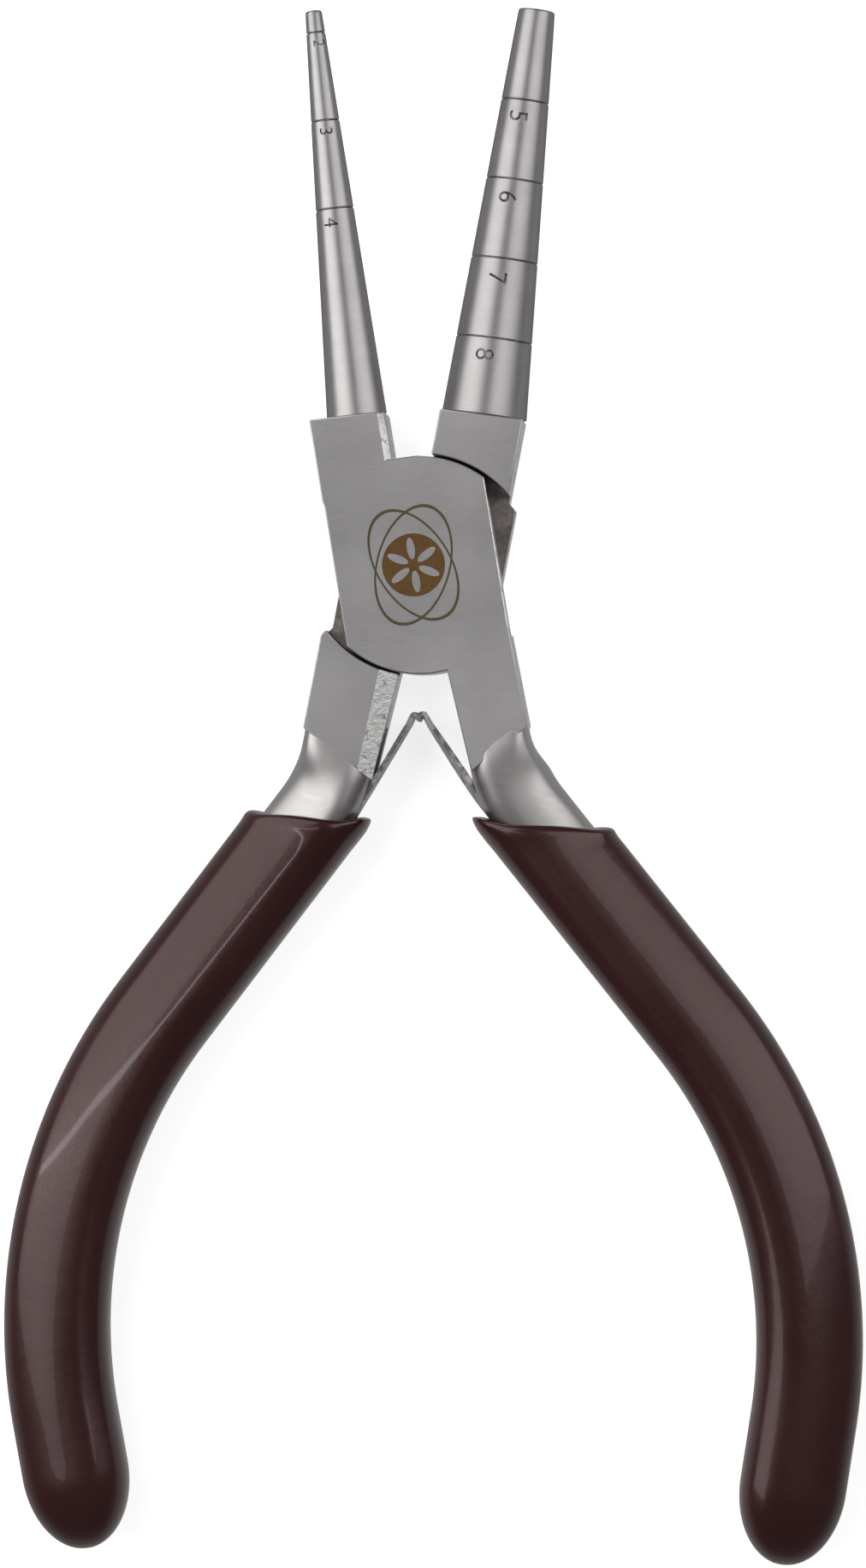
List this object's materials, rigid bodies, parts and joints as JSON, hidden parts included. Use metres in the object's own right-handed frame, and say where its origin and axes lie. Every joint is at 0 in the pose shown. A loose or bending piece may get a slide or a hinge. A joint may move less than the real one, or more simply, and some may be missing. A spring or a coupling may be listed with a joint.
{
  "type": "round nose pliers",
  "caption": "Round nose pliers with graduated tapered jaws, a flush-riveted lap joint, leaf return springs and dipped vinyl grips.",
  "frame": {"origin": "on the joint rivet's axis, in the back face of the joint that the tool lies on", "axes": "+Y towards the jaw tips, +Z out of the front face, +X to the larger jaw's side"},
  "size_m": [0.0905, 0.1635, 0.01],
  "materials": {
    "ground_steel": "satin ground faces, brighter polished shanks",
    "turned_steel": "fine turned and satin polished",
    "spring_steel": "dull tempered strip",
    "vinyl": "glossy dark maroon dipped vinyl"
  },
  "bodies": {
    "front_body": {"front_half": "ground_steel", "small_mandrel": "turned_steel", "pivot_rivet": "ground_steel", "right_grip": "vinyl", "right_spring_rivet": "spring_steel"},
    "back_body": {"back_half": "ground_steel", "large_mandrel": "turned_steel", "left_grip": "vinyl", "left_spring_rivet": "spring_steel"},
    "right_leaf": {"right_leaf_spring": "spring_steel"},
    "left_leaf": {"left_leaf_spring": "spring_steel"}
  },
  "joints": [
    {"name": "pivot", "type": "hinge", "parent": "front_body", "child": "back_body", "pos_m": [0, 0, 0.0047], "axis": [0, 0, 1], "range_deg": [-15, 20], "stiffness_Nm_per_rad": 1.4},
    {"name": "right_leaf_bend", "type": "hinge", "parent": "front_body", "child": "right_leaf", "pos_m": [0.00853, -0.02857, 0.0047], "axis": [0, 0, 1], "range_deg": [-13.2, 10], "deforming": ["right_leaf_spring"]},
    {"name": "left_leaf_bend", "type": "hinge", "parent": "back_body", "child": "left_leaf", "pos_m": [-0.00752, -0.02738, 0.0047], "axis": [0, 0, 1], "range_deg": [-7.6, 10], "deforming": ["left_leaf_spring"]}
  ],
  "couplings": [
    {"joint": "right_leaf_bend", "follows": "pivot", "ratio": -0.6528},
    {"joint": "left_leaf_bend", "follows": "pivot", "ratio": 0.4968}
  ]
}
